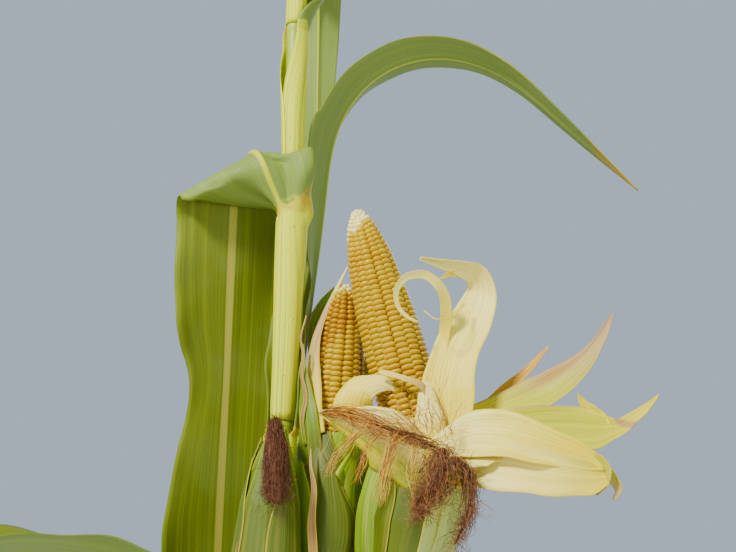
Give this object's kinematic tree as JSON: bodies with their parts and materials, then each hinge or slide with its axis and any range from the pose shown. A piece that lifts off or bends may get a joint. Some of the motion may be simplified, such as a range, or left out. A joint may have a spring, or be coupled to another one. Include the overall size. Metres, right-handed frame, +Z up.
{
  "type": "maize plant",
  "caption": "Whole maize plant: a jointed stem with long arching leaves, opened ears that show rows of golden kernels, a closed ear, and a tassel on top.",
  "frame": {"origin": "centre of the flat cut under the stem, at ground level", "axes": "+Z up along the stem, +X to the right and +Y away from a viewer who faces the opened ears"},
  "size_m": [0.9943, 0.4415, 2.4703],
  "materials": {
    "stem": "smooth, yellow-green, satin",
    "leaf": "green blade with long veins and a pale midrib, satin",
    "leaf_dry": "withered, tan, matte",
    "kernel": "golden yellow kernels, glossy",
    "husk_green": "pale green with long veins, satin",
    "husk_pale": "cream to pale yellow with long veins, satin",
    "husk_dry": "dry, orange-brown, matte",
    "silk_dark": "dried dark red-brown threads, matte",
    "silk_pale": "blond threads, matte",
    "tassel": "tan with a purple tinge, matte"
  },
  "bodies": {
    "root": {"stem": "stem", "leaf_4_base": "leaf_dry", "leaf_4_tip": "leaf_dry", "leaf_5_base": "leaf", "leaf_5_tip": "leaf", "leaf_6_base": "leaf", "leaf_6_tip": "leaf", "leaf_7_base": "leaf", "leaf_7_tip": "leaf", "leaf_8_base": "leaf", "leaf_8_tip": "leaf", "leaf_9_base": "leaf", "leaf_9_tip": "leaf", "leaf_10_base": "leaf", "leaf_10_tip": "leaf", "leaf_11_base": "leaf", "leaf_11_tip": "leaf", "leaf_12_base": "leaf", "leaf_12_tip": "leaf", "leaf_13_base": "leaf", "leaf_13_tip": "leaf", "leaf_14_base": "leaf", "leaf_14_tip": "leaf", "ear_right": "kernel", "ear_left": "kernel", "ear_closed": "husk_green", "cup_right": "husk_green", "cup_left": "husk_green", "shank_right_ear": "husk_green", "shank_left_ear": "husk_green", "shank_closed_ear": "husk_green", "husk_left_inner": "husk_pale", "husk_left_outer": "husk_green", "husk_left_back": "husk_green", "husk_curl": "husk_pale", "husk_band": "husk_pale", "husk_front": "husk_green", "husk_right_front": "husk_pale", "husk_tall": "husk_pale", "husk_strap": "husk_pale", "husk_side_upper": "husk_pale", "husk_side_lower": "husk_pale", "husk_side_green": "husk_green", "husk_pointed": "husk_dry", "husk_narrow": "husk_dry", "silk_closed_ear": "silk_dark", "silk_swath": "silk_pale", "silk_tangle": "silk_dark", "silk_strand": "silk_dark", "tassel_spike": "tassel", "tassel_branch_1": "tassel", "tassel_branch_2": "tassel", "tassel_branch_3": "tassel", "tassel_branch_4": "tassel", "tassel_branch_5": "tassel", "tassel_branch_6": "tassel", "tassel_branch_7": "tassel", "tassel_branch_8": "tassel", "tassel_branch_9": "tassel"}
  },
  "joints": []
}
